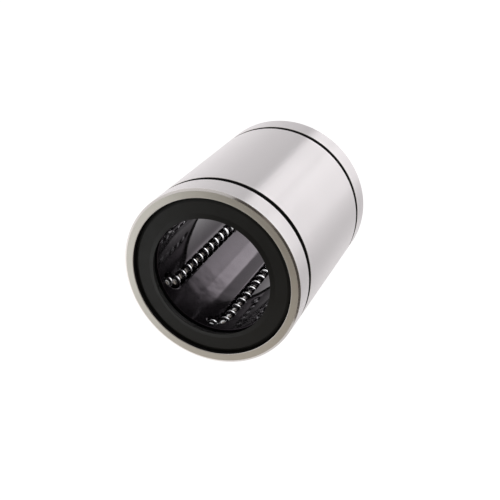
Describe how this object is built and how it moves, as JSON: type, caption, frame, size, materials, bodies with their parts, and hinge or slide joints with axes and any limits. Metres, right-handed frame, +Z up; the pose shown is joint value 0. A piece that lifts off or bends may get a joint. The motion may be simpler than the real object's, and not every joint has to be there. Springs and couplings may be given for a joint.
{
  "type": "linear ball bushing",
  "caption": "Closed linear ball bushing: ground steel sleeve, resin ball retainer, recirculating steel balls and a wiper seal in each end.",
  "frame": {"origin": "on the bushing axis at mid-length, which is the centre of its box", "axes": "+Y along the bushing axis from the front end to the rear end, +Z up with the bushing lying on its side, +X to the right seen from the front end"},
  "size_m": [0.09, 0.11, 0.09],
  "materials": {
    "sleeve_steel": "ground and polished bearing steel, matt turned end faces",
    "ball_steel": "lapped mirror-bright bearing steel",
    "pressed_steel": "stamped spring steel, lightly oiled",
    "seal_rubber": "matt moulded nitrile rubber",
    "retainer_resin": "glossy black moulded resin, lightly greased"
  },
  "bodies": {
    "bushing_housing": {"outer_sleeve": "sleeve_steel", "ball_retainer": "retainer_resin", "front_seal": "seal_rubber", "front_seal_insert": "pressed_steel", "front_side_ring": "pressed_steel", "rear_seal": "seal_rubber", "rear_seal_insert": "pressed_steel", "rear_side_ring": "pressed_steel"},
    "circuit_1_load_balls": {"circuit_1_load_balls": "ball_steel"},
    "circuit_1_return_balls": {"circuit_1_return_balls": "ball_steel"},
    "circuit_1_front_turn_balls": {"circuit_1_front_turn_balls": "ball_steel"},
    "circuit_1_rear_turn_balls": {"circuit_1_rear_turn_balls": "ball_steel"},
    "circuit_2_load_balls": {"circuit_2_load_balls": "ball_steel"},
    "circuit_2_return_balls": {"circuit_2_return_balls": "ball_steel"},
    "circuit_2_front_turn_balls": {"circuit_2_front_turn_balls": "ball_steel"},
    "circuit_2_rear_turn_balls": {"circuit_2_rear_turn_balls": "ball_steel"},
    "circuit_3_load_balls": {"circuit_3_load_balls": "ball_steel"},
    "circuit_3_return_balls": {"circuit_3_return_balls": "ball_steel"},
    "circuit_3_front_turn_balls": {"circuit_3_front_turn_balls": "ball_steel"},
    "circuit_3_rear_turn_balls": {"circuit_3_rear_turn_balls": "ball_steel"},
    "circuit_4_load_balls": {"circuit_4_load_balls": "ball_steel"},
    "circuit_4_return_balls": {"circuit_4_return_balls": "ball_steel"},
    "circuit_4_front_turn_balls": {"circuit_4_front_turn_balls": "ball_steel"},
    "circuit_4_rear_turn_balls": {"circuit_4_rear_turn_balls": "ball_steel"},
    "circuit_5_load_balls": {"circuit_5_load_balls": "ball_steel"},
    "circuit_5_return_balls": {"circuit_5_return_balls": "ball_steel"},
    "circuit_5_front_turn_balls": {"circuit_5_front_turn_balls": "ball_steel"},
    "circuit_5_rear_turn_balls": {"circuit_5_rear_turn_balls": "ball_steel"},
    "circuit_6_load_balls": {"circuit_6_load_balls": "ball_steel"},
    "circuit_6_return_balls": {"circuit_6_return_balls": "ball_steel"},
    "circuit_6_front_turn_balls": {"circuit_6_front_turn_balls": "ball_steel"},
    "circuit_6_rear_turn_balls": {"circuit_6_rear_turn_balls": "ball_steel"}
  },
  "joints": [
    {"name": "circuit_1_load_travel", "type": "slide", "parent": "bushing_housing", "child": "circuit_1_load_balls", "axis": [0, 1, 0], "range_m": [-0.00095, 0.00615]},
    {"name": "circuit_1_return_travel", "type": "slide", "parent": "bushing_housing", "child": "circuit_1_return_balls", "axis": [0, 1, 0], "range_m": [-0.00615, 0.00095]},
    {"name": "circuit_1_front_turn_travel", "type": "hinge", "parent": "bushing_housing", "child": "circuit_1_front_turn_balls", "pos_m": [-0.03229, -0.0355, -0.01081], "axis": [-0.866, 0, -0.5], "range_deg": [-51.97, 8.03]},
    {"name": "circuit_1_rear_turn_travel", "type": "hinge", "parent": "bushing_housing", "child": "circuit_1_rear_turn_balls", "pos_m": [-0.03229, 0.0355, -0.01081], "axis": [-0.866, 0, -0.5], "range_deg": [-51.97, 8.03]},
    {"name": "circuit_2_load_travel", "type": "slide", "parent": "bushing_housing", "child": "circuit_2_load_balls", "axis": [0, 1, 0], "range_m": [-0.00525, 0.00185]},
    {"name": "circuit_2_return_travel", "type": "slide", "parent": "bushing_housing", "child": "circuit_2_return_balls", "axis": [0, 1, 0], "range_m": [-0.00185, 0.00525]},
    {"name": "circuit_2_front_turn_travel", "type": "hinge", "parent": "bushing_housing", "child": "circuit_2_front_turn_balls", "pos_m": [-0.00678, -0.0355, -0.03337], "axis": [0, 0, -1], "range_deg": [-15.63, 44.37]},
    {"name": "circuit_2_rear_turn_travel", "type": "hinge", "parent": "bushing_housing", "child": "circuit_2_rear_turn_balls", "pos_m": [-0.00678, 0.0355, -0.03337], "axis": [0, 0, -1], "range_deg": [-15.63, 44.37]},
    {"name": "circuit_3_load_travel", "type": "slide", "parent": "bushing_housing", "child": "circuit_3_load_balls", "axis": [0, 1, 0], "range_m": [-0.00415, 0.00295]},
    {"name": "circuit_3_return_travel", "type": "slide", "parent": "bushing_housing", "child": "circuit_3_return_balls", "axis": [0, 1, 0], "range_m": [-0.00295, 0.00415]},
    {"name": "circuit_3_front_turn_travel", "type": "hinge", "parent": "bushing_housing", "child": "circuit_3_front_turn_balls", "pos_m": [0.02551, -0.0355, -0.02256], "axis": [0.866, 0, -0.5], "range_deg": [-24.93, 35.07]},
    {"name": "circuit_3_rear_turn_travel", "type": "hinge", "parent": "bushing_housing", "child": "circuit_3_rear_turn_balls", "pos_m": [0.02551, 0.0355, -0.02256], "axis": [0.866, 0, -0.5], "range_deg": [-24.93, 35.07]},
    {"name": "circuit_4_load_travel", "type": "slide", "parent": "bushing_housing", "child": "circuit_4_load_balls", "axis": [0, 1, 0], "range_m": [-0.00235, 0.00475]},
    {"name": "circuit_4_return_travel", "type": "slide", "parent": "bushing_housing", "child": "circuit_4_return_balls", "axis": [0, 1, 0], "range_m": [-0.00475, 0.00235]},
    {"name": "circuit_4_front_turn_travel", "type": "hinge", "parent": "bushing_housing", "child": "circuit_4_front_turn_balls", "pos_m": [0.03229, -0.0355, 0.01081], "axis": [0.866, 0, 0.5], "range_deg": [-40.14, 19.86]},
    {"name": "circuit_4_rear_turn_travel", "type": "hinge", "parent": "bushing_housing", "child": "circuit_4_rear_turn_balls", "pos_m": [0.03229, 0.0355, 0.01081], "axis": [0.866, 0, 0.5], "range_deg": [-40.14, 19.86]},
    {"name": "circuit_5_load_travel", "type": "slide", "parent": "bushing_housing", "child": "circuit_5_load_balls", "axis": [0, 1, 0], "range_m": [-0.00645, 0.00065]},
    {"name": "circuit_5_return_travel", "type": "slide", "parent": "bushing_housing", "child": "circuit_5_return_balls", "axis": [0, 1, 0], "range_m": [-0.00065, 0.00645]},
    {"name": "circuit_5_front_turn_travel", "type": "hinge", "parent": "bushing_housing", "child": "circuit_5_front_turn_balls", "pos_m": [0.00678, -0.0355, 0.03337], "axis": [0, 0, 1], "range_deg": [-5.49, 54.51]},
    {"name": "circuit_5_rear_turn_travel", "type": "hinge", "parent": "bushing_housing", "child": "circuit_5_rear_turn_balls", "pos_m": [0.00678, 0.0355, 0.03337], "axis": [0, 0, 1], "range_deg": [-5.49, 54.51]},
    {"name": "circuit_6_load_travel", "type": "slide", "parent": "bushing_housing", "child": "circuit_6_load_balls", "axis": [0, 1, 0], "range_m": [-0.00315, 0.00395]},
    {"name": "circuit_6_return_travel", "type": "slide", "parent": "bushing_housing", "child": "circuit_6_return_balls", "axis": [0, 1, 0], "range_m": [-0.00395, 0.00315]},
    {"name": "circuit_6_front_turn_travel", "type": "hinge", "parent": "bushing_housing", "child": "circuit_6_front_turn_balls", "pos_m": [-0.02551, -0.0355, 0.02256], "axis": [-0.866, 0, 0.5], "range_deg": [-33.38, 26.62]},
    {"name": "circuit_6_rear_turn_travel", "type": "hinge", "parent": "bushing_housing", "child": "circuit_6_rear_turn_balls", "pos_m": [-0.02551, 0.0355, 0.02256], "axis": [-0.866, 0, 0.5], "range_deg": [-33.38, 26.62]}
  ],
  "couplings": [
    {"joint": "circuit_1_return_travel", "follows": "circuit_1_load_travel", "ratio": -1},
    {"joint": "circuit_1_front_turn_travel", "follows": "circuit_1_load_travel", "rad_per_m": -147.49},
    {"joint": "circuit_1_rear_turn_travel", "follows": "circuit_1_load_travel", "rad_per_m": -147.49},
    {"joint": "circuit_2_return_travel", "follows": "circuit_2_load_travel", "ratio": -1},
    {"joint": "circuit_2_front_turn_travel", "follows": "circuit_2_load_travel", "rad_per_m": -147.49},
    {"joint": "circuit_2_rear_turn_travel", "follows": "circuit_2_load_travel", "rad_per_m": -147.49},
    {"joint": "circuit_3_return_travel", "follows": "circuit_3_load_travel", "ratio": -1},
    {"joint": "circuit_3_front_turn_travel", "follows": "circuit_3_load_travel", "rad_per_m": -147.49},
    {"joint": "circuit_3_rear_turn_travel", "follows": "circuit_3_load_travel", "rad_per_m": -147.49},
    {"joint": "circuit_4_return_travel", "follows": "circuit_4_load_travel", "ratio": -1},
    {"joint": "circuit_4_front_turn_travel", "follows": "circuit_4_load_travel", "rad_per_m": -147.49},
    {"joint": "circuit_4_rear_turn_travel", "follows": "circuit_4_load_travel", "rad_per_m": -147.49},
    {"joint": "circuit_5_return_travel", "follows": "circuit_5_load_travel", "ratio": -1},
    {"joint": "circuit_5_front_turn_travel", "follows": "circuit_5_load_travel", "rad_per_m": -147.49},
    {"joint": "circuit_5_rear_turn_travel", "follows": "circuit_5_load_travel", "rad_per_m": -147.49},
    {"joint": "circuit_6_return_travel", "follows": "circuit_6_load_travel", "ratio": -1},
    {"joint": "circuit_6_front_turn_travel", "follows": "circuit_6_load_travel", "rad_per_m": -147.49},
    {"joint": "circuit_6_rear_turn_travel", "follows": "circuit_6_load_travel", "rad_per_m": -147.49}
  ]
}
